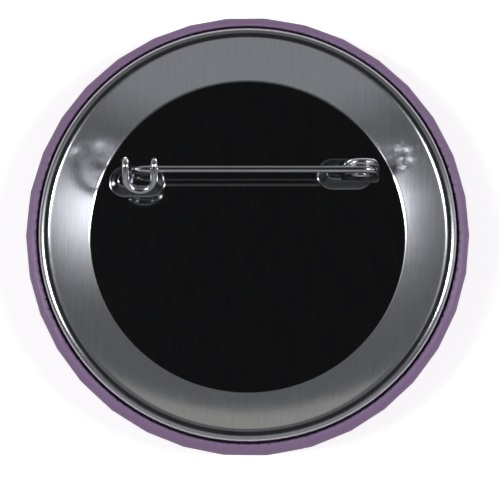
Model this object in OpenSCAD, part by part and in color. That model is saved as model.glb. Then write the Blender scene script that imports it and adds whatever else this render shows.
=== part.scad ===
// Round button badge seen as it lies on its face: the crown of the domed face touches z = 0
// and the pinned back looks up along +Z. The needle runs along X and points towards -X.

/* [Badge] */
// Diameter over the wrapped rim
badge_d = 57.15; // [52:0.05:90]
// Height of the widest line of the rim above the crown of the face
girth_h = 5.2; // [4.4:0.1:6.4]
// Radius of the rolled rim, over the film
rim_round = 1.6; // [1.5:0.05:2]
// Width of the rolled rim left showing around the back plate
rim_w = 1.7; // [1.65:0.05:1.95]

/* [Layers] */
// Thickness of the tinplate face shell
shell_t = 0.28; // [0.2:0.01:0.35]
// Thickness of the printed paper
paper_t = 0.12; // [0.06:0.01:0.15]
// Thickness of the clear film
film_t = 0.1; // [0.05:0.01:0.12]
// How far round the inside of the rim the paper and film are tucked, in degrees
tuck_turn = 55; // [20:5:80]
// Free space between the folded film and the bead of the back
crimp_gap = 0.05; // [0.03:0.01:0.1]

/* [Back plate] */
// Thickness of the ring's tinplate
ring_t = 0.28; // [0.2:0.01:0.35]
// Width of the sloping band, from the window's edge to the bead's crest
slope_w = 5.3; // [4.5:0.1:6]
// Free space between the hidden wire and the shell
under_gap = 0.12; // [0.1:0.02:0.6]
// Height of the bead's middle above the plate's face
bead_h = 2.9; // [2.5:0.1:3.4]
// Radius of the rolled bead, over its outside
bead_round = 1.05; // [0.8:0.05:1.3]
// Width of the flat lip that holds the plate's edge
lip_w = 0.3; // [0.2:0.05:0.5]
// Inside radius of the bend from the lip to the sloping band
lip_round = 0.26; // [0.1:0.02:0.4]
// Inside radius of the bend from the skirt to the foot under the crimp
foot_round = 0.1; // [0.05:0.05:0.2]
// How far the foot reaches out past the skirt, under the crimp
foot_w = 0.5; // [0.3:0.05:0.6]
// How far the plate reaches under the ring
plate_lap = 0.8; // [0.4:0.1:1]
// Thickness of the black plate
plate_t = 0.3; // [0.2:0.02:0.4]

/* [Pin] */
// Thickness of the wire
wire_d = 0.92; // [0.7:0.01:1]
// Height of the needle's middle above the plate
needle_h = 4.7; // [4:0.1:5.2]
// Length from the coil's middle to the needle's point
needle_len = 29.5; // [26:0.1:31]
// Length of the ground point
point_len = 1.8; // [1:0.1:4]
// Thickness left at the very end of the point
tip_d = 0.18; // [0.1:0.02:0.3]
// Distance of the needle from the badge's centre line
needle_y = 7.8; // [5:0.1:9]
// Distance of the coil's middle from the badge's centre
coil_x = 14.6; // [13:0.1:15]
// Diameter of the coil over the wire
coil_d = 4.5; // [3.8:0.1:5]
// Free space between wires that pass each other
wire_gap = 0.05; // [0.03:0.01:0.1]
// How far the needle is pushed sideways to leave the catch, in degrees
swing_max = 10; // [8:1:10]

/* [Catch] */
// Distance of the catch's middle from the badge's centre
catch_x = 13.73; // [12:0.05:14.5]
// Distance between the catch's two legs
catch_w = 3.65; // [3:0.05:4.5]
// Length of the catch from its legs to the end of its loop
catch_len = 3.85; // [3.5:0.05:5]
// How far the looped end slopes down towards the plate, in degrees
catch_tilt = 31; // [27:4:31]
// Radius of the bend at the top of each leg
catch_bend = 0.7; // [0.6:0.05:0.9]

/* [Bosses] */
// Height of the raised bosses
boss_h = 1.7; // [1.4:0.1:2]
// Width of each boss at its foot
boss_w = 3.9; // [3.5:0.1:4.4]
// Width of the sloping side of a boss
boss_slope = 1.1; // [0.8:0.1:1.3]
// Length of each boss at its foot
boss_len = 7.1; // [6:0.1:8]
// Distance of the catch's boss from the badge's upright centre line
catch_boss_x = 14.4; // [13.5:0.05:15]
// Distance of the catch's boss from the badge's level centre line
catch_boss_y = 7; // [6.2:0.1:8]
// Distance of the coil's boss from the badge's upright centre line
coil_boss_x = 12.7; // [12.5:0.1:14]
// Distance of the coil's boss from the badge's level centre line
coil_boss_y = 8; // [7.2:0.1:9]
// Free space around the wire in the plate's holes
hole_gap = 0.12; // [0.08:0.01:0.2]
// Free space around the coil in its slot
slot_gap = 0.35; // [0.3:0.05:0.5]

/* [Hidden] */

far = 200;
wire_color = [0.8, 0.81, 0.83];

// Steps along a profile's wide and tight arcs, and facets round a turned solid, a ring of wire
// and a wire or boss
arc_steps = 12;
bend_steps = 6;
turn_facets = 120;
ring_facets = 64;
wire_facets = 32;

// Rolled rim: one circle about this middle, met by the face's dome without a corner
rim_r = badge_d / 2 - rim_round;
dome_r = (rim_r * rim_r + girth_h * girth_h - rim_round * rim_round) / (2 * (girth_h - rim_round));
dome_turn = atan(rim_r / (dome_r - girth_h));

// The shell's surfaces, and its cut edge, that the paper and film fold over
skin_t = paper_t + film_t;
shell_out = rim_round - skin_t;
shell_in = shell_out - shell_t;
edge_round = shell_t / 2;
bead_edge_r = badge_d / 2 - rim_w;
fold_r = bead_edge_r + crimp_gap + edge_round + skin_t;
crimp_turn = acos((fold_r - rim_r) / (shell_in + edge_round));
tuck_end = crimp_turn - tuck_turn;
edge_mid = [rim_r, girth_h] + (shell_in + edge_round) * [cos(crimp_turn), sin(crimp_turn)];

// The plate stands clear of the wire that runs behind it, where the shell's inside is highest
wire_r = wire_d / 2;
pitch = wire_d + wire_gap;
anchor_y = needle_y + pitch;
loop_r = catch_w / 2;
run_end = [catch_x + loop_r + wire_r, anchor_y + wire_r];
inside_r = dome_r - rim_round + shell_in;
run_z = dome_r - sqrt(inside_r * inside_r - run_end * run_end) + under_gap + wire_r;
plate_h = run_z + wire_r + wire_gap + plate_t;

// Middles of the bends in the ring's sheet, and the slope of the band between the lip and the bead
half_t = ring_t / 2;
bead_bend = bead_round - half_t;
lip_bend = half_t + lip_round;
foot_bend = half_t + foot_round;
bead_mid = [bead_edge_r - bead_round, plate_h + bead_h];
window_r = bead_mid[0] - slope_w;
lip_mid = [window_r + lip_w, plate_h + half_t + lip_bend];
rise = bead_mid - lip_mid;
slope_turn = atan2(rise[1], rise[0]) + asin((lip_bend + bead_bend) / norm(rise));
foot_mid = [bead_mid[0] + bead_bend + foot_bend, girth_h + foot_bend];
foot_r = bead_edge_r + foot_w;

// Wires. The hidden run is one wire: its knuckles stand a hair proud of it, and its end stops
// short of the coil
knuckle_rise = 0.01;
join_gap = 0.08;
coil_turn = 290;
needle_z = plate_h + needle_h;
coil_bend = coil_d / 2 - wire_r;
coil_z = needle_z - coil_bend;
leg_top = needle_z + (pitch - catch_bend) * (1 + sin(catch_tilt)) / cos(catch_tilt);
arm_len = catch_len - catch_bend - loop_r;
coil_foot_z = coil_z - coil_bend;

// Slot that the coil's lower half hangs in, wide enough for the sideways swing
slot_half = coil_d / 2 + slot_gap;
swing_room = sin(swing_max) * coil_d / 2;

// The hidden run climbs to the coil inside the coil's boss
ramp_lead = 0.8;
ramp_low = [coil_x - slot_half - ramp_lead, anchor_y, run_z];
ramp_high = [coil_x - coil_bend, anchor_y, coil_foot_z];

function arc(mid, r, from, to, steps = arc_steps) =
    [for (i = [0:steps]) mid + r * [cos(from + (to - from) * i / steps), sin(from + (to - from) * i / steps)]];
function tail(points) = [for (i = [1:len(points) - 1]) points[i]];
function turned(points) = [for (i = [len(points) - 1:-1:0]) points[i]];

// The face and rolled rim at one distance from the rim's middle, from the axis to the crimp
function face_line(r) = concat(
    arc([0, dome_r], dome_r - rim_round + r, -90, dome_turn - 90),
    tail(arc([rim_r, girth_h], r, dome_turn - 90, tuck_end)),
    tail(arc([rim_r, girth_h], r, tuck_end, crimp_turn)));

// The same line, folded over the shell's edge and tucked along the inside of the rim
function wrap_line(skin) = concat(
    face_line(shell_out + skin),
    tail(arc(edge_mid, edge_round + skin, crimp_turn, crimp_turn + 180)),
    tail(arc([rim_r, girth_h], shell_in - skin, crimp_turn, tuck_end)));

// One side of the ring's sheet, from the window's edge to the foot under the crimp
function ring_line(side) = concat(
    [[window_r, lip_mid[1] - lip_bend + side]],
    arc(lip_mid, lip_bend - side, -90, slope_turn - 90, bend_steps),
    arc(bead_mid, bead_bend + side, slope_turn + 90, 0),
    arc(foot_mid, foot_bend - side, 180, 270, bend_steps),
    [[foot_r, foot_mid[1] - foot_bend + side]]);

module turned_solid(points) {
    rotate_extrude($fn = turn_facets) polygon(points);
}

// A length of wire between two points
module rod(a, b, r = wire_r) {
    d = b - a;
    translate(a)
        rotate([0, acos(d[2] / norm(d)), atan2(d[1], d[0])])
            cylinder(h = norm(d), r = r, $fn = wire_facets);
}

// The outside of a sharp bend in the hidden wire
module ball(p) {
    translate(p) sphere(r = wire_r + knuckle_rise, $fn = wire_facets);
}

// Part of a ring of wire about Z, at the origin
module bend(r, from, turn) {
    rotate([0, 0, from])
        rotate_extrude(angle = turn, $fn = ring_facets)
            translate([r, 0]) circle(r = wire_r, $fn = wire_facets);
}

// A raised oval boss, or the hollow under one
module boss(x, y, foot_z, grow) {
    reach = (boss_len - boss_w) / 2;
    hull()
        for (side = [-1, 1])
            translate([x + side * reach, y, foot_z])
                cylinder(h = boss_h, r1 = boss_w / 2 + grow, r2 = boss_w / 2 - boss_slope + grow,
                    $fn = wire_facets);
}

module front_shell() {
    color([0.78, 0.79, 0.8])
        turned_solid(concat(
            face_line(shell_out),
            tail(arc(edge_mid, edge_round, crimp_turn, crimp_turn + 180)),
            tail(turned(face_line(shell_in)))));
}

module graphic() {
    color([0.5, 0.41, 0.52])
        turned_solid(concat(wrap_line(paper_t), turned(wrap_line(0))));
}

module clear_film() {
    color([0.75, 0.72, 0.78, 0.4])
        turned_solid(concat(wrap_line(skin_t), turned(wrap_line(paper_t))));
}

module collet_ring() {
    color([0.72, 0.73, 0.75])
        turned_solid(concat(ring_line(half_t), turned(ring_line(-half_t))));
}

module back_plate() {
    color([0.07, 0.07, 0.08])
        difference() {
            union() {
                translate([0, 0, plate_h - plate_t])
                    cylinder(h = plate_t, r = window_r + plate_lap, $fn = turn_facets);
                boss(-catch_boss_x, catch_boss_y, plate_h, 0);
                boss(coil_boss_x, coil_boss_y, plate_h, 0);
            }
            boss(-catch_boss_x, catch_boss_y, plate_h - plate_t, -plate_t / 2);
            boss(coil_boss_x, coil_boss_y, plate_h - plate_t, -plate_t / 2);
            for (side = [-1, 1])
                translate([-catch_x + side * loop_r, anchor_y, 0])
                    cylinder(h = far, r = wire_r + hole_gap, $fn = wire_facets);
            translate([coil_x - slot_half, needle_y - wire_r - swing_room, 0])
                cube([2 * slot_half, pitch + wire_d + 2 * swing_room, far]);
            rod(ramp_low, ramp_high, wire_r + hole_gap);
        }
}

// The hidden run behind the plate, from the catch's far leg to the foot of the coil
module base_wire() {
    color(wire_color) union() {
        rod([-catch_x - loop_r - wire_r, anchor_y, run_z], ramp_low);
        ball(ramp_low);
        rod(ramp_low, ramp_high);
        ball(ramp_high);
        rod(ramp_high, [coil_x - join_gap, anchor_y, coil_foot_z]);
    }
}

// Two legs bent over the needle, and joined by a round loop that slopes down in front of it
module catch() {
    color(wire_color)
        translate([-catch_x, anchor_y, 0])
            for (side = [-1, 1]) {
                rod([side * loop_r, 0, plate_h - plate_t], [side * loop_r, 0, leg_top]);
                translate([side * loop_r, -catch_bend, leg_top])
                    rotate([90, 0, 90]) bend(catch_bend, 0, 90 + catch_tilt);
            }
    color(wire_color)
        translate([-catch_x, anchor_y - catch_bend, leg_top])
            rotate([catch_tilt, 0, 0])
                translate([0, 0, catch_bend]) {
                    for (side = [-1, 1]) rod([side * loop_r, 0, 0], [side * loop_r, -arm_len, 0]);
                    translate([0, -arm_len, 0]) bend(loop_r, 180, 180);
                }
}

// The turn of the coil that springs from the hidden run
module anchor_coil() {
    color(wire_color)
        translate([coil_x, anchor_y, coil_z])
            rotate([90, 0, 0]) bend(coil_bend, -90, coil_turn);
}

// The turn of the coil that carries the needle
module needle_coil() {
    color(wire_color)
        translate([coil_x, needle_y, coil_z])
            rotate([90, 0, 0]) bend(coil_bend, 90, -coil_turn);
}

module needle() {
    base = [coil_x, needle_y, needle_z];
    neck = [coil_x - needle_len + point_len, needle_y, needle_z];
    color(wire_color) {
        rod(base, neck);
        translate(neck)
            rotate([0, -90, 0]) cylinder(h = point_len, r1 = wire_r, r2 = tip_d / 2, $fn = wire_facets);
    }
}

front_shell();
graphic();
clear_film();
collet_ring();
back_plate();
base_wire();
catch();
anchor_coil();
needle_coil();
needle();
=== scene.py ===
"""Looks for the button badge: wrapped purple rim, bright dished ring, black plate and wire pin."""

import math

import bmesh
import bpy
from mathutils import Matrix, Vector


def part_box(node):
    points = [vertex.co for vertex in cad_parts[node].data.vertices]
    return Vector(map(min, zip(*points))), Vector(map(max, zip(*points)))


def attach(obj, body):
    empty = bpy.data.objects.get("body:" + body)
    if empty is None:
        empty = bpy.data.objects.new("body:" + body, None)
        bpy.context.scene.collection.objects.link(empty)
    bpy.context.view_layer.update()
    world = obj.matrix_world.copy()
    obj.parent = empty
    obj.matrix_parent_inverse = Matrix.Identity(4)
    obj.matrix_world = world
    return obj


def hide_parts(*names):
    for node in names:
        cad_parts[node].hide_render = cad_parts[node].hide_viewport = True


MM = 0.001
TAU = 2 * math.pi

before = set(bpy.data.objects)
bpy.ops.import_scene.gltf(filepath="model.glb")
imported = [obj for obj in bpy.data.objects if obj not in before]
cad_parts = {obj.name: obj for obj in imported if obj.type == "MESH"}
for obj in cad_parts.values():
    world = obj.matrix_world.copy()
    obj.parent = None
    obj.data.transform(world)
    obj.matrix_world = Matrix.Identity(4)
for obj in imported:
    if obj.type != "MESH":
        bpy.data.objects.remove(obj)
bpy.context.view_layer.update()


# ---------------------------------------------------------------- sizes, in millimetres

def box_mm(node):
    low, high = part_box(node)
    return Vector(low) / MM, Vector(high) / MM


film_high = box_mm("clear_film")[1]
plate_low, plate_high = box_mm("back_plate")
ring_high = box_mm("collet_ring")[1]
needle_low, needle_high = box_mm("needle")
coil_low, coil_high = box_mm("needle_coil")
anchor_low, anchor_high = box_mm("anchor_coil")
catch_low, catch_high = box_mm("catch")
base_low, base_high = box_mm("base_wire")

RIM_R = film_high[0]
SKIN_T = 0.22
SHELL_T = 0.28
RIM_ROUND = 1.6
RIM_SHOWN = 1.7
CRIMP_GAP = 0.15
TUCK_TURN = 55
# The next two values place the painted shade on the print where the film tucks into the fold: its
# start past the crimp gap, and its blur.
TUCK_SHADE_LINE = 0.05
TUCK_SHADE_BLUR = 0.125

# Flats around the rim, and pleats where the film is gathered over the fold.
# FLAT_FROM and PLEAT_LEAD count points of the skin's outline. FLAT_JITTER is a list of
# waves, each its size, its turns around the rim and its lag; PLEAT_DRIFT is size and turns.
FLAT_FROM = 30
PLEAT_LEAD = 4
FLATS = 34
FLAT_REACH = 3.2
FLAT_FADE = 2.6
FLAT_DEPTH = 0.95
FLAT_JITTER = ((0.35, 3, 1.1), (0.3, 7, 0.4))
PLEATS = 136
PLEAT_DRIFT = (0.8, 5)
PLEAT_SHARP = 6
PLEAT_HURRY = 1.1
PLEAT_R = 0.12
PLEAT_Z = 0.10

RING_T = 0.28
LIP_TURN = 20.5
LIP_ROUND = 1.1
FOOT_ROUND = 0.02
FOOT_W = 0.5
BEAD_ROUND = 1.05
SLOPE_W = 5.3
SLOPE_DISH = 0.1
BEAD_Z = ring_high[2] - BEAD_ROUND
GIRTH_Z = 5.2

BOSS_H = 1.7
BOSS_W = 3.9
BOSS_LEN = 7.1
BOSS_SLOPE = 1.1
BOSS_BLEND = 0.15
BOSS_STEP = 0.11
BOSS_MARGIN = 0.5
CATCH_BOSS = (-14.4, 7.0)
COIL_BOSS = (12.7, 8.0)
PLATE_T = 0.3
PLATE_Z = plate_high[2] - BOSS_H
PLATE_R = (plate_high[0] - plate_low[0]) / 2
SLOT_GAP = 0.35
SLOT_CORNER = 0.5
CUTTER_TOP = 12
HOLE_GAP = 0.12
SWING = math.radians(10)

WIRE_R = (needle_high[2] - needle_low[2]) / 2
NEEDLE_Y = (needle_low[1] + needle_high[1]) / 2
NEEDLE_Z = (needle_low[2] + needle_high[2]) / 2
NEEDLE_TIP_X = needle_low[0]
POINT_LEN = 1.8
POINT_CURVE = 1.7
POINT_BLUNT = 0.06
COIL_TURN = 290
COIL_R = (coil_high[2] - coil_low[2]) / 2 - WIRE_R
COIL_X = needle_high[0]
COIL_Z = NEEDLE_Z - COIL_R
ANCHOR_Y = (anchor_low[1] + anchor_high[1]) / 2
CATCH_X = (catch_low[0] + catch_high[0]) / 2
LOOP_R = (catch_high[0] - catch_low[0]) / 2 - WIRE_R
CATCH_BEND = 0.7
CATCH_LEN = 3.85
CATCH_TILT = 31
CATCH_CURL = 15
RAMP_LEAD = 0.8

# How finely each piece is cut
SKIN_SEGMENTS = 1088
RING_SEGMENTS = 720
PLATE_SEGMENTS = 240
DOME_STEPS = 40
RIM_STEPS = 36
FOLD_STEPS = 16
TUCK_STEPS = 8
SLOPE_STEPS = 24
BEAD_STEPS = 48
BEND_STEPS = 8
CORNER_STEPS = 6
HOLE_SIDES = 32
COIL_STEPS = 90
SHANK_STEPS, POINT_STEPS = 60, 24
LEG_STEPS, TURN_STEPS, ARM_STEPS, LOOP_STEPS = 10, 24, 8, 48
RUN_STEPS, RAMP_STEPS, TAIL_STEPS = 40, 8, 6


# ---------------------------------------------------------------- mesh helpers

def new_object(name, verts, faces):
    mesh = bpy.data.meshes.new(name)
    mesh.from_pydata([tuple(c * MM for c in v) for v in verts], [], faces)
    mesh.validate()
    obj = bpy.data.objects.new(name, mesh)
    bpy.context.collection.objects.link(obj)
    return obj


def smooth(obj, angle=40):
    obj.data.polygons.foreach_set("use_smooth", [True] * len(obj.data.polygons))
    obj.data.set_sharp_from_angle(angle=math.radians(angle))


def face_outward(obj):
    bm = bmesh.new()
    bm.from_mesh(obj.data)
    bmesh.ops.remove_doubles(bm, verts=bm.verts, dist=1e-7)
    bmesh.ops.recalc_face_normals(bm, faces=bm.faces)
    bm.to_mesh(obj.data)
    bm.free()


def place(obj, body, slot, material, *nodes):
    obj.data.materials.clear()
    obj.data.materials.append(material)
    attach(obj, body)
    if nodes:
        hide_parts(*nodes)


def arc(mid, r, start, end, steps=16):
    points = []
    for i in range(steps + 1):
        a = math.radians(start + (end - start) * i / steps)
        points.append((mid[0] + r * math.cos(a), mid[1] + r * math.sin(a)))
    return points


def revolve(profile, segments, shift=None):
    """A closed outline turned about Z. shift(i, angle, r, z) may move a point."""
    verts = []
    faces = []
    n = len(profile)
    for s in range(segments):
        a = TAU * s / segments
        for i, (r, z) in enumerate(profile):
            if shift:
                r, z = shift(i, a, r, z)
            verts.append((r * math.cos(a), r * math.sin(a), z))
    for s in range(segments):
        t = (s + 1) % segments
        for i in range(n):
            j = (i + 1) % n
            if profile[i][0] < 1e-9 and profile[j][0] < 1e-9:
                continue
            faces.append((s * n + i, t * n + i, t * n + j, s * n + j))
    return verts, faces


def tube(points, radii, sides=28):
    """A round wire swept along points, with flat ends."""
    points = [Vector(p) for p in points]
    tangents = []
    for i, p in enumerate(points):
        a = points[max(i - 1, 0)]
        b = points[min(i + 1, len(points) - 1)]
        tangents.append((b - a).normalized())
    side = tangents[0].orthogonal().normalized()
    verts = []
    for p, t, r in zip(points, tangents, radii):
        side = (side - t * side.dot(t)).normalized()
        up = t.cross(side)
        for k in range(sides):
            a = TAU * k / sides
            verts.append(p + r * (math.cos(a) * side + math.sin(a) * up))
    faces = []
    for i in range(len(points) - 1):
        for k in range(sides):
            m = (k + 1) % sides
            low, high = i * sides, (i + 1) * sides
            faces.append((low + k, low + m, high + m, high + k))
    faces.append(tuple(range(sides - 1, -1, -1)))
    last = (len(points) - 1) * sides
    faces.append(tuple(last + k for k in range(sides)))
    return verts, faces


def arc_3d(mid, across, along, r, start, end, steps=24):
    mid, across, along = Vector(mid), Vector(across), Vector(along)
    points = []
    for i in range(steps + 1):
        a = math.radians(start + (end - start) * i / steps)
        points.append(mid + r * (math.cos(a) * across + math.sin(a) * along))
    return points


def line_3d(a, b, steps):
    a, b = Vector(a), Vector(b)
    return [a.lerp(b, i / steps) for i in range(steps + 1)]


def joined(*runs):
    """Runs of points end to end, without the doubled points where they meet."""
    points = []
    for run in runs:
        for p in run:
            if not points or (Vector(p) - points[-1]).length > 1e-4:
                points.append(Vector(p))
    return points


# ---------------------------------------------------------------- materials

class Nodes:
    """Short calls for building a node tree."""

    def __init__(self, tree):
        self.tree = tree
        tree.nodes.clear()

    def add(self, kind, **settings):
        node = self.tree.nodes.new(kind)
        for key, value in settings.items():
            setattr(node, key, value)
        return node

    def link(self, source, target):
        self.tree.links.new(source, target)

    def math(self, operation, a, b=None, clamp=False):
        node = self.add("ShaderNodeMath", operation=operation, use_clamp=clamp)
        for socket, value in zip(node.inputs, (a, b)):
            if value is None:
                continue
            if isinstance(value, (int, float)):
                socket.default_value = value
            else:
                self.link(value, socket)
        return node.outputs[0]

    def coords(self, scale):
        coord = self.add("ShaderNodeTexCoord")
        mapping = self.add("ShaderNodeMapping")
        mapping.inputs["Scale"].default_value = scale
        self.link(coord.outputs["Object"], mapping.inputs["Vector"])
        return mapping.outputs["Vector"]

    def noise(self, vector, scale, detail=4, rough=0.6):
        node = self.add("ShaderNodeTexNoise")
        node.inputs["Scale"].default_value = scale
        node.inputs["Detail"].default_value = detail
        node.inputs["Roughness"].default_value = rough
        self.link(vector, node.inputs["Vector"])
        return node.outputs["Fac"]

    def ramp(self, fac, stops):
        node = self.add("ShaderNodeValToRGB")
        ramp = node.color_ramp
        while len(ramp.elements) < len(stops):
            ramp.elements.new(0.5)
        for element, (position, color) in zip(ramp.elements, stops):
            element.position = position
            element.color = (*(color if isinstance(color, tuple) else grey(color)), 1)
        self.link(fac, node.inputs["Fac"])
        return node.outputs["Color"]

    def bump(self, height, strength, distance):
        node = self.add("ShaderNodeBump")
        node.inputs["Strength"].default_value = strength
        node.inputs["Distance"].default_value = distance
        self.link(height, node.inputs["Height"])
        return node.outputs["Normal"]

    def principled(self, **values):
        shader = self.add("ShaderNodeBsdfPrincipled")
        for name, value in values.items():
            socket = shader.inputs[name.replace("_", " ")]
            if isinstance(value, bpy.types.NodeSocket):
                self.link(value, socket)
            else:
                socket.default_value = value
        out = self.add("ShaderNodeOutputMaterial")
        self.link(shader.outputs["BSDF"], out.inputs["Surface"])
        return shader


def new_material(name):
    material = bpy.data.materials.new(name)
    material.use_nodes = True
    return material, Nodes(material.node_tree)


def grey(v):
    return (v, v, v)


def bright_tinplate():
    """Bright rolled sheet: faint grain along Y, slight waviness and a few finger smudges."""
    material, n = new_material("bright_tinplate")
    grain = n.noise(n.coords((9000, 260, 400)), 1.0, 5, 0.65)
    waves = n.noise(n.coords(grey(160)), 1.0, 2, 0.5)
    smudge = n.noise(n.coords(grey(420)), 1.0, 4, 0.6)
    tone = n.ramp(grain, [(0.25, (0.60, 0.61, 0.63)), (0.75, (0.72, 0.73, 0.75))])
    rough = n.math("ADD", n.math("MULTIPLY", grain, 0.07), n.math("MULTIPLY", smudge, 0.12))
    height = n.math("ADD", n.math("MULTIPLY", grain, 0.12), waves)
    n.principled(
        Base_Color=tone, Metallic=1.0, Roughness=n.math("ADD", rough, 0.06),
        Normal=n.bump(height, 0.35, 0.00006))
    return material


def black_sheet():
    """Gloss black sheet with the rolling grain just showing through."""
    material, n = new_material("black_sheet")
    grain = n.noise(n.coords((7000, 160, 300)), 1.0, 6, 0.7)
    patch = n.noise(n.coords((700, 300, 500)), 1.0, 5, 0.65)
    mottle = n.math("ADD", n.math("MULTIPLY", grain, 0.6), n.math("MULTIPLY", patch, 0.4))
    tone = n.ramp(mottle, [
        (0.36, (0.23, 0.24, 0.255)),
        (0.5, (0.28, 0.285, 0.29)),
        (0.64, (0.34, 0.355, 0.345))])
    rough = n.math("ADD", n.math("MULTIPLY", grain, 0.10), 0.03)
    n.principled(
        Base_Color=tone, Metallic=1.0, Roughness=rough,
        Normal=n.bump(grain, 0.2, 0.00001))
    return material


def plated_wire():
    """Nickel-plated spring wire with fine drawing lines."""
    material, n = new_material("plated_wire")
    lines = n.noise(n.coords((500, 5200, 5200)), 1.0, 4, 0.6)
    tone = n.ramp(lines, [(0.3, (0.70, 0.70, 0.73)), (0.7, (0.80, 0.80, 0.83))])
    rough = n.math("ADD", n.math("MULTIPLY", lines, 0.10), 0.06)
    n.principled(
        Base_Color=tone, Metallic=1.0, Roughness=rough,
        Normal=n.bump(lines, 0.25, 0.000006))
    return material


def filmed_print():
    """Plain purple print seen through clear film, with painted shade, near black, where it is
    tucked in.
    """
    material, n = new_material("filmed_print")
    flat = n.add("ShaderNodeVectorMath", operation="LENGTH")
    n.link(n.coords((1 / MM, 1 / MM, 0)), flat.inputs[0])
    split = n.add("ShaderNodeSeparateXYZ")
    n.link(n.coords(grey(1 / MM)), split.inputs[0])
    # Painted shade: the print goes near black inside the tuck, but not on the domed face.
    tuck_shade_r = RIM_R - RIM_SHOWN + CRIMP_GAP + TUCK_SHADE_LINE
    past = n.math("SUBTRACT", flat.outputs["Value"], tuck_shade_r)
    past_tuck_shade = n.math("MULTIPLY", past, 1 / TUCK_SHADE_BLUR, clamp=True)
    face = n.math("LESS_THAN", split.outputs["Z"], GIRTH_Z)
    unshaded = n.math("MAXIMUM", past_tuck_shade, face)
    fibre = n.noise(n.coords(grey(2600)), 1.0, 5, 0.6)
    cloud = n.noise(n.coords(grey(90)), 1.0, 3, 0.5)
    mottle = n.math("ADD", n.math("MULTIPLY", fibre, 0.4), n.math("MULTIPLY", cloud, 0.6))
    tone = n.ramp(mottle, [(0.35, (0.218, 0.135, 0.240)), (0.65, (0.242, 0.152, 0.266))])
    ripple = n.noise(n.coords(grey(700)), 1.0, 3, 0.5)
    shade = n.add("ShaderNodeMixRGB", blend_type="MULTIPLY")
    shade.inputs["Fac"].default_value = 1
    n.link(tone, shade.inputs["Color1"])
    # The near black end of this ramp is the painted shade in the tuck.
    n.link(n.ramp(unshaded, [(0, (0.08, 0.06, 0.1)), (1, (1, 1, 1))]), shade.inputs["Color2"])
    rough = n.math("ADD", n.math("MULTIPLY", fibre, 0.15), 0.5)
    n.principled(
        Base_Color=shade.outputs["Color"], Roughness=rough,
        Coat_Weight=0.15, Coat_Roughness=0.2, Normal=n.bump(ripple, 0.15, 0.00003))
    return material


def plain_tinplate():
    """Duller tinplate, inside the badge."""
    material, n = new_material("plain_tinplate")
    grain = n.noise(n.coords((6000, 300, 300)), 1.0, 5, 0.6)
    tone = n.ramp(grain, [(0.3, (0.16, 0.16, 0.165)), (0.7, (0.22, 0.225, 0.23))])
    rough = n.math("ADD", n.math("MULTIPLY", grain, 0.2), 0.25)
    n.principled(
        Base_Color=tone, Metallic=1.0, Roughness=rough,
        Normal=n.bump(grain, 0.2, 0.00001))
    return material


# ---------------------------------------------------------------- pieces

def make_wrapped_face(material):
    """Film and paper as one lapped skin: domed face, rolled rim, and the fold inside it."""
    rim_r = RIM_R - RIM_ROUND
    dome_r = (rim_r ** 2 + GIRTH_Z ** 2 - RIM_ROUND ** 2) / (2 * (GIRTH_Z - RIM_ROUND))
    dome_turn = math.degrees(math.atan2(rim_r, dome_r - GIRTH_Z))
    shell_out = RIM_ROUND - SKIN_T
    shell_in = shell_out - SHELL_T
    edge = SHELL_T / 2
    fold_r = RIM_R - RIM_SHOWN + CRIMP_GAP + edge + SKIN_T
    crimp = math.degrees(math.acos((fold_r - rim_r) / (shell_in + edge)))
    mid = (rim_r + (shell_in + edge) * math.cos(math.radians(crimp)),
           GIRTH_Z + (shell_in + edge) * math.sin(math.radians(crimp)))
    tuck = crimp - TUCK_TURN

    def line(skin):
        r = shell_out + skin
        return (
            arc((0, dome_r), dome_r - RIM_ROUND + r, -90, dome_turn - 90, DOME_STEPS)
            + arc((rim_r, GIRTH_Z), r, dome_turn - 90, crimp, RIM_STEPS)[1:]
            + arc(mid, edge + skin, crimp, crimp + 180, FOLD_STEPS)[1:]
            + arc((rim_r, GIRTH_Z), shell_in - skin, crimp, tuck, TUCK_STEPS)[1:])

    outer = line(SKIN_T)
    inner = line(0)
    profile = outer + inner[::-1]
    pleat_start = DOME_STEPS + RIM_STEPS - PLEAT_LEAD
    pleat_steps = FOLD_STEPS + PLEAT_LEAD

    def shift(i, a, r, z):
        """Draw the outer skin in to flats near the rim, and pleat it over the fold."""
        if i >= len(outer):
            return r, z
        near_rim = min(max((r - (RIM_R - FLAT_REACH)) / FLAT_FADE, 0), 1) if i > FLAT_FROM else 0
        jitter = sum(size * math.sin(turns * a + lag) for size, turns, lag in FLAT_JITTER)
        step = TAU / FLATS
        place_in = ((a * FLATS + jitter) / FLATS) % step - step / 2
        flat = math.cos(step / 2) / math.cos(place_in)
        r *= 1 + (flat - 1) * near_rim * FLAT_DEPTH
        if pleat_start <= i <= pleat_start + pleat_steps:
            t = (i - pleat_start) / pleat_steps
            depth = math.sin(math.pi * min(t * PLEAT_HURRY, 1))
            drift, turns = PLEAT_DRIFT
            pleat = max(math.cos(a * PLEATS + drift * math.sin(turns * a)), 0) ** PLEAT_SHARP
            r += PLEAT_R * depth * pleat
            z -= PLEAT_Z * depth * pleat
        return r, z

    verts, faces = revolve(profile, SKIN_SEGMENTS, shift)
    obj = new_object("wrapped_face", verts, faces)
    face_outward(obj)
    smooth(obj, 50)
    place(obj, "badge", "clear_film", material, "clear_film", "graphic")


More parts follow.
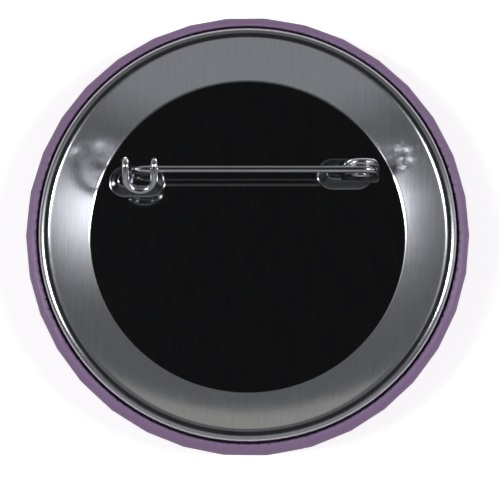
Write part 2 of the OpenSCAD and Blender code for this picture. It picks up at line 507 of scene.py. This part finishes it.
def ring_outline():
    """The ring's section: rounded lip, dished band, rolled bead and a foot under it."""
    half = RING_T / 2
    bead_bend = BEAD_ROUND - half
    lip_bend = half + LIP_ROUND
    foot_bend = half + FOOT_ROUND
    bead_edge = RIM_R - RIM_SHOWN
    bead = Vector((bead_edge - BEAD_ROUND, BEAD_Z))
    window = bead[0] - SLOPE_W
    lip_turn = math.radians(LIP_TURN)
    lip = Vector((
        window - lip_bend * math.sin(lip_turn),
        PLATE_Z + half + lip_bend * math.cos(lip_turn)))
    rise = bead - lip
    crossing = math.asin((lip_bend + bead_bend) / rise.length)
    slope = math.degrees(math.atan2(rise[1], rise[0]) + crossing)
    foot = (bead[0] + bead_bend + foot_bend, GIRTH_Z + foot_bend)

    def line(side):
        low = arc(lip, lip_bend - side, LIP_TURN - 90, slope - 90, BEND_STEPS)
        high = arc(bead, bead_bend + side, slope + 90, 0, BEAD_STEPS)
        a, b = Vector(low[-1]), Vector(high[0])
        across = Vector((a[1] - b[1], b[0] - a[0])).normalized()
        band = []
        for i in range(1, SLOPE_STEPS):
            t = i / SLOPE_STEPS
            band.append(tuple(a.lerp(b, t) - across * SLOPE_DISH * 4 * t * (1 - t)))
        return (
            low + band + high
            + arc(foot, foot_bend - side, 180, 270, BEND_STEPS)
            + [(bead_edge + FOOT_W, foot[1] - foot_bend + side)])

    return line(half) + line(-half)[::-1]


def make_ring(material):
    verts, faces = revolve(ring_outline(), RING_SEGMENTS)
    obj = new_object("dished_ring", verts, faces)
    face_outward(obj)
    smooth(obj, 50)
    place(obj, "badge", "bright_tinplate", material, "collet_ring")


def boss_height(x, y, centre):
    """Height of an embossed oval, with a rounded foot and a rounded brow."""
    reach = (BOSS_LEN - BOSS_W) / 2
    dx = max(abs(x - centre[0]) - reach, 0)
    inside = BOSS_W / 2 - math.hypot(dx, y - centre[1])
    t = min(max((inside + BOSS_BLEND) / (BOSS_SLOPE + 2 * BOSS_BLEND), 0), 1)
    return BOSS_H * (t * t * (3 - 2 * t))


def make_plate(material):
    """The plate as one sheet: fine patches over the bosses, flat in between, then thickened."""
    bm = bmesh.new()
    nx = round((BOSS_LEN + 2 * BOSS_MARGIN) / BOSS_STEP)
    ny = round((BOSS_W + 2 * BOSS_MARGIN) / BOSS_STEP)
    for centre in (CATCH_BOSS, COIL_BOSS):
        grid = {}
        for i in range(nx + 1):
            for j in range(ny + 1):
                x = centre[0] - nx * BOSS_STEP / 2 + i * BOSS_STEP
                y = centre[1] - ny * BOSS_STEP / 2 + j * BOSS_STEP
                z = PLATE_Z + boss_height(x, y, centre)
                grid[i, j] = bm.verts.new((x * MM, y * MM, z * MM))
        for i in range(nx):
            for j in range(ny):
                bm.faces.new((grid[i, j], grid[i + 1, j], grid[i + 1, j + 1], grid[i, j + 1]))
    edges = [e for e in bm.edges if e.is_boundary]
    outer = []
    for k in range(PLATE_SEGMENTS):
        a = TAU * k / PLATE_SEGMENTS
        x, y = PLATE_R * math.cos(a), PLATE_R * math.sin(a)
        outer.append(bm.verts.new((x * MM, y * MM, PLATE_Z * MM)))
    for k in range(PLATE_SEGMENTS):
        edges.append(bm.edges.new((outer[k], outer[(k + 1) % PLATE_SEGMENTS])))
    bmesh.ops.triangle_fill(bm, use_beauty=True, edges=edges, normal=(0, 0, 1))
    for face in bm.faces:
        if face.normal.z < 0:
            face.normal_flip()
    mesh = bpy.data.meshes.new("pressed_plate")
    bm.to_mesh(mesh)
    bm.free()
    obj = bpy.data.objects.new("pressed_plate", mesh)
    bpy.context.collection.objects.link(obj)
    thick = obj.modifiers.new("thickness", "SOLIDIFY")
    thick.thickness = PLATE_T * MM
    thick.offset = -1
    cutters = [slot_cutter()] + [leg_cutter(side) for side in (-1, 1)]
    for cutter in cutters:
        cut = obj.modifiers.new("cut", "BOOLEAN")
        cut.operation = "DIFFERENCE"
        cut.solver = "EXACT"
        cut.object = cutter
    bpy.context.view_layer.update()
    evaluated = obj.evaluated_get(bpy.context.evaluated_depsgraph_get())
    done = bpy.data.meshes.new_from_object(evaluated)
    obj.modifiers.clear()
    obj.data = done
    for cutter in cutters:
        bpy.data.objects.remove(cutter)
    smooth(obj, 35)
    place(obj, "badge", "black_plate", material, "back_plate")


def slot_cutter():
    """A round-cornered slot for the coil's lower half."""
    half_x = COIL_R + WIRE_R + SLOT_GAP
    room = math.sin(SWING) * (COIL_R + WIRE_R)
    low = NEEDLE_Y - WIRE_R - room
    high = ANCHOR_Y + WIRE_R + room
    mid_y = (low + high) / 2
    half_y = (high - low) / 2
    outline = []
    for sx, sy, start in ((1, 1, 0), (-1, 1, 90), (-1, -1, 180), (1, -1, 270)):
        corner = (COIL_X + sx * (half_x - SLOT_CORNER), mid_y + sy * (half_y - SLOT_CORNER))
        outline += arc(corner, SLOT_CORNER, start, start + 90, CORNER_STEPS)
    return prism("slot_cutter", outline)


def leg_cutter(side):
    """A round hole for one of the catch's legs."""
    centre = (CATCH_X + side * LOOP_R, ANCHOR_Y)
    last = HOLE_SIDES - 1
    outline = arc(centre, WIRE_R + HOLE_GAP, 0, 360 * last / HOLE_SIDES, last)
    return prism("leg_cutter", outline)


def prism(name, outline):
    """An upright bar that passes right through the plate."""
    n = len(outline)
    verts = [(x, y, z) for z in (0, CUTTER_TOP) for x, y in outline]
    faces = [tuple(range(n - 1, -1, -1)), tuple(range(n, 2 * n))]
    for i in range(n):
        j = (i + 1) % n
        faces.append((i, j, n + j, n + i))
    return new_object(name, verts, faces)


def wire_piece(name, points, radii, body, material, *nodes):
    """A length of the pin's wire, in place of the CAD nodes named."""
    verts, faces = tube(points, radii)
    obj = new_object(name, verts, faces)
    face_outward(obj)
    smooth(obj, 45)
    place(obj, body, "wire", material, *nodes)


def make_catch(material):
    """Two legs bent over the needle, joined by a round loop that curls down in front of it."""
    tilt, curl = math.radians(CATCH_TILT), math.radians(CATCH_CURL)
    start = tilt - curl
    bend_y = ANCHOR_Y - CATCH_BEND
    reach = ANCHOR_Y - NEEDLE_Y - CATCH_BEND
    bend_z = NEEDLE_Z + reach * (1 + math.sin(tilt)) / math.cos(tilt)
    arm = CATCH_LEN - CATCH_BEND - LOOP_R + CATCH_BEND * curl
    curl_r = (arm + LOOP_R) / (2 * curl)
    root_y = bend_y - CATCH_BEND * math.sin(start)
    root_z = bend_z + CATCH_BEND * math.cos(start)

    def curled(across, along):
        """A point of the flat loop, with the loop's sheet rolled about a level line."""
        a = start + along / curl_r
        return (CATCH_X + across, root_y - curl_r * (math.sin(a) - math.sin(start)),
                root_z - curl_r * (math.cos(start) - math.cos(a)))

    def leg(side):
        x = CATCH_X + side * LOOP_R
        return joined(
            line_3d((x, ANCHOR_Y, catch_low[2]), (x, ANCHOR_Y, bend_z), LEG_STEPS),
            arc_3d(
                (x, bend_y, bend_z), (0, 1, 0), (0, 0, 1), CATCH_BEND,
                0, 90 + math.degrees(start), TURN_STEPS),
            [curled(side * LOOP_R, arm * i / ARM_STEPS) for i in range(ARM_STEPS + 1)])

    loop = [curled(x, arm - y) for x, y in arc((0, 0), LOOP_R, 180, 360, LOOP_STEPS)]
    points = joined(leg(-1), loop, leg(1)[::-1])
    wire_piece("looped_catch", points, [WIRE_R] * len(points), "badge", material, "catch")


def make_needle(material):
    """The needle's half of the coil, its shank, and the ground point."""
    neck = NEEDLE_TIP_X + POINT_LEN
    points = joined(
        arc_3d(
            (COIL_X, NEEDLE_Y, COIL_Z), (1, 0, 0), (0, 0, 1), COIL_R,
            90 - COIL_TURN, 90, COIL_STEPS),
        line_3d((COIL_X, NEEDLE_Y, NEEDLE_Z), (neck, NEEDLE_Y, NEEDLE_Z), SHANK_STEPS),
        line_3d((neck, NEEDLE_Y, NEEDLE_Z), (NEEDLE_TIP_X, NEEDLE_Y, NEEDLE_Z), POINT_STEPS))
    radii = []
    for p in points:
        t = max((neck - p[0]) / POINT_LEN, 0)
        radii.append(WIRE_R * max(1 - t ** POINT_CURVE, POINT_BLUNT))
    wire_piece("sprung_needle", points, radii, "pin", material, "needle", "needle_coil")


def make_anchor_coil(material):
    """The coil's other half, which springs from the hidden run."""
    points = arc_3d(
        (COIL_X, ANCHOR_Y, COIL_Z), (1, 0, 0), (0, 0, 1), COIL_R,
        -90, COIL_TURN - 90, COIL_STEPS)
    wire_piece("anchor_turn", points, [WIRE_R] * len(points), "coil", material, "anchor_coil")


def make_base_wire(material):
    """The run behind the plate, with a ramp up to the coil at its end."""
    low_z = base_low[2] + WIRE_R
    high_z = COIL_Z - COIL_R
    low = Vector((COIL_X - COIL_R - WIRE_R - SLOT_GAP - RAMP_LEAD, ANCHOR_Y, low_z))
    high = Vector((COIL_X - COIL_R, ANCHOR_Y, high_z))
    points = joined(
        line_3d((base_low[0], ANCHOR_Y, low_z), low, RUN_STEPS),
        line_3d(low, high, RAMP_STEPS),
        line_3d(high, (base_high[0], ANCHOR_Y, high_z), TAIL_STEPS))
    wire_piece("hidden_run", points, [WIRE_R] * len(points), "badge", material, "base_wire")


# ---------------------------------------------------------------- light, floor and camera

ROOM_LEVEL = 0.13
FRONT_LEVEL, FRONT_EDGE = 0.15, (0.45, 0.65)
STRIP_LEVEL, STRIP_START, STRIP_SLOPE, STRIP_BLUR = 0.23, 0.5, 0.56, 0.035
COOL, WARM = (0.975, 0.98, 1.04), (1.0, 0.985, 0.92)
LAMP_EDGE = (-0.30, -0.02)
# Azimuth, elevation, strength, tightness: two small lamps, and the glow around each
LAMPS = [
    (0, 46, 90, 400),
    (0, 30, 1.25, 29),
    (183, 46, 90, 400),
    (183, 46, 3, 70),
    (183, 46, 0.8, 17.6),
]
OVERHEAD = [(0.0, 1.0), (0.8, 1.0), (0.92, 0.15), (1.0, 0.14)]

FLOOR_SIZE = 3000
FLOOR_TINT = (0.79, 0.76, 0.745)
FLOOR_GLOW = 0.58

CAMERA_TILT = 8.27
CAMERA_AWAY = 215
VIEW_WIDTH = 64.4
SENSOR = 36
LENS = SENSOR * CAMERA_AWAY / VIEW_WIDTH
CAMERA_AIM = (0.304, -2.211, GIRTH_Z)


def make_world():
    """A dim room: a lamp on each side, a pale strip low behind, a wall in front, dark overhead."""
    world = bpy.data.worlds.new("studio")
    bpy.context.scene.world = world
    world.use_nodes = True
    n = Nodes(world.node_tree)
    direction = n.add("ShaderNodeTexCoord").outputs["Generated"]

    def toward(azimuth, elevation):
        a, e = math.radians(azimuth), math.radians(elevation)
        node = n.add("ShaderNodeVectorMath", operation="DOT_PRODUCT")
        n.link(direction, node.inputs[0])
        node.inputs[1].default_value = (
            math.cos(a) * math.cos(e), math.sin(a) * math.cos(e), math.sin(e))
        return node.outputs["Value"]

    def lamp(azimuth, elevation, strength, tightness):
        away = n.math("SUBTRACT", toward(azimuth, elevation), 1)
        return n.math("MULTIPLY", n.math("EXPONENT", n.math("MULTIPLY", away, tightness)), strength)

    def rising(value, start, end):
        """0 up to start, 1 from end on."""
        return n.math("DIVIDE", n.math("SUBTRACT", value, start), end - start, clamp=True)

    back, up = toward(90, 0), toward(0, 90)
    lamps = 0
    for settings in LAMPS:
        lamps = n.math("ADD", lamp(*settings), lamps)
    lamps = n.math("MULTIPLY", lamps, rising(back, *LAMP_EDGE))
    front = n.math("MULTIPLY", back, -1)
    wall = n.math("MULTIPLY", rising(front, *FRONT_EDGE), FRONT_LEVEL)
    top = n.math("MULTIPLY", n.math("SUBTRACT", back, STRIP_START), STRIP_SLOPE)
    drop = n.math("SUBTRACT", top, up)
    strip_part = rising(drop, 0, STRIP_BLUR)
    strip = n.math("MULTIPLY", strip_part, STRIP_LEVEL)
    total = n.math("ADD", n.math("ADD", lamps, wall), n.math("ADD", strip, ROOM_LEVEL))
    light = n.math("MULTIPLY", total, n.ramp(n.math("MAXIMUM", up, 0), OVERHEAD))
    background = n.add("ShaderNodeBackground")
    n.link(n.ramp(strip_part, [(0, COOL), (1, WARM)]), background.inputs["Color"])
    n.link(light, background.inputs["Strength"])
    white = n.add("ShaderNodeBackground")
    white.inputs["Color"].default_value = (1, 1, 1, 1)
    mix = n.add("ShaderNodeMixShader")
    n.link(n.add("ShaderNodeLightPath").outputs["Is Camera Ray"], mix.inputs["Fac"])
    n.link(background.outputs[0], mix.inputs[1])
    n.link(white.outputs[0], mix.inputs[2])
    out = n.add("ShaderNodeOutputWorld")
    n.link(mix.outputs[0], out.inputs["Surface"])


def make_floor():
    """A pale floor that keeps the badge's shadow, and glows for the camera only."""
    size = FLOOR_SIZE
    corners = [(-size, -size, 0), (size, -size, 0), (size, size, 0), (-size, size, 0)]
    obj = new_object("floor", corners, [(0, 1, 2, 3)])
    material, n = new_material("floor")
    diffuse = n.add("ShaderNodeBsdfDiffuse")
    diffuse.inputs["Color"].default_value = (*FLOOR_TINT, 1)
    glow = n.add("ShaderNodeEmission")
    glow.inputs["Color"].default_value = (1, 1, 1, 1)
    camera_ray = n.add("ShaderNodeLightPath").outputs["Is Camera Ray"]
    n.link(n.math("MULTIPLY", camera_ray, FLOOR_GLOW), glow.inputs["Strength"])
    both = n.add("ShaderNodeAddShader")
    n.link(diffuse.outputs[0], both.inputs[0])
    n.link(glow.outputs[0], both.inputs[1])
    out = n.add("ShaderNodeOutputMaterial")
    n.link(both.outputs[0], out.inputs["Surface"])
    obj.data.materials.append(material)


def make_camera():
    """The camera over the back of the badge, tipped a little towards its lower edge."""
    data = bpy.data.cameras.new("camera")
    obj = bpy.data.objects.new("camera", data)
    bpy.context.collection.objects.link(obj)
    bpy.context.scene.camera = obj
    tilt = math.radians(CAMERA_TILT)
    aim = Vector(CAMERA_AIM)
    back = Vector((0, -math.sin(tilt), math.cos(tilt)))
    obj.location = (aim + back * CAMERA_AWAY) * MM
    obj.rotation_euler = (tilt, 0, 0)
    data.sensor_width = SENSOR
    data.lens = LENS
    data.clip_start = 0.001


tin = bright_tinplate()
wire = plated_wire()
make_camera()
make_world()
make_floor()
make_wrapped_face(filmed_print())
make_ring(tin)
make_plate(black_sheet())
make_catch(wire)
make_needle(wire)
make_anchor_coil(wire)
make_base_wire(wire)
inner_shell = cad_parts["front_shell"]
inner_shell.data.materials.clear()
inner_shell.data.materials.append(plain_tinplate())
bpy.context.scene.view_settings.view_transform = "Standard"
